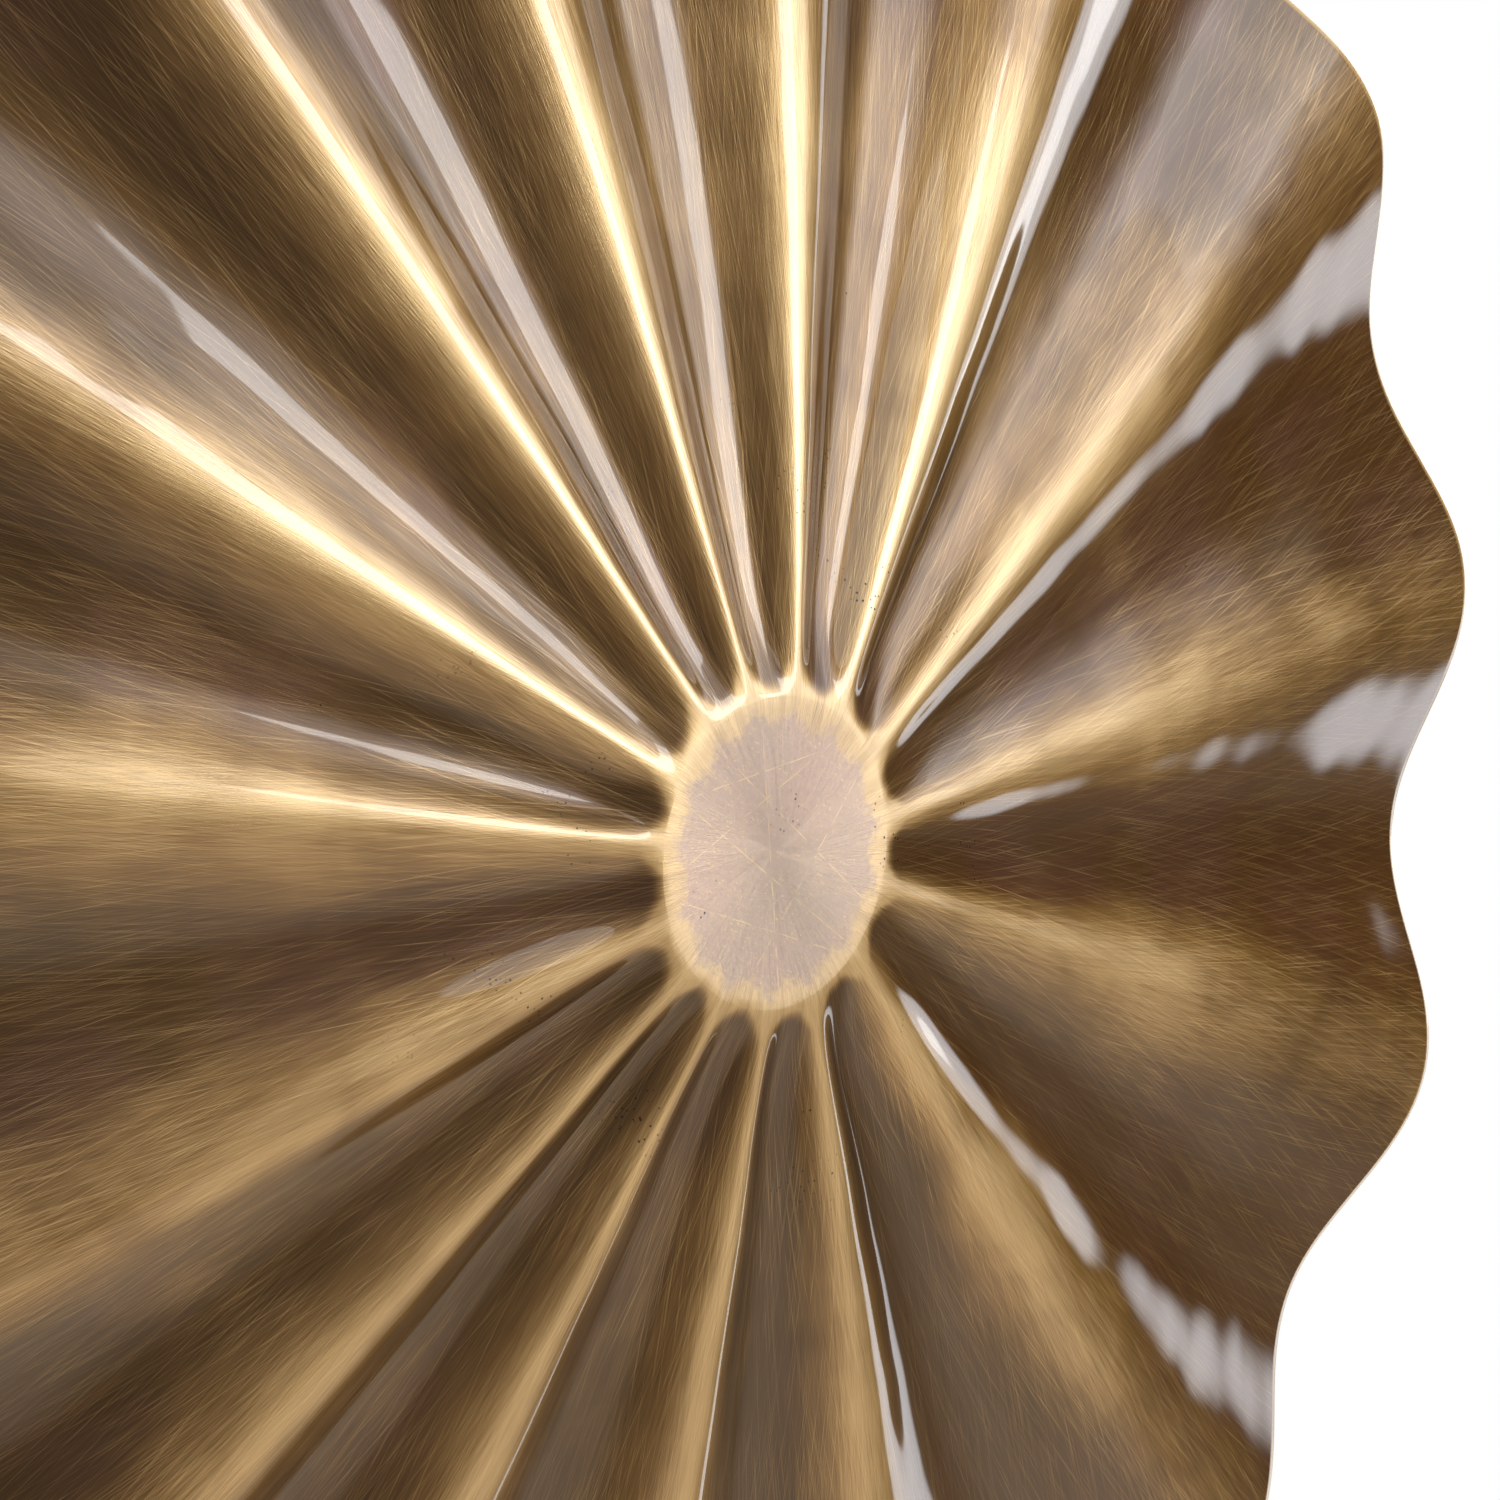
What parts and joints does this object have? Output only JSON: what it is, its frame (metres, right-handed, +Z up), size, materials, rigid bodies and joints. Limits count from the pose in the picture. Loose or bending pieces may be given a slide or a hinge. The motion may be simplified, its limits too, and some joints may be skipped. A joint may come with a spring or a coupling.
{
  "type": "fluted urli bowl",
  "caption": "Shallow fluted bowl of hand-worked brass sheet, with a small flat foot and ridges that run out to a scalloped rim.",
  "frame": {"origin": "centre of the foot's underside, on the bowl's axis, where the bowl meets the table", "axes": "+Z up along the bowl's axis, out of its mouth; +X towards the wide flute beside the first ridge, which lies at a bearing of 7 degrees"},
  "size_m": [0.2988, 0.2989, 0.034],
  "materials": {
    "aged_brass": "satin"
  },
  "bodies": {
    "root": {"bowl_shell": "aged_brass"}
  },
  "joints": []
}
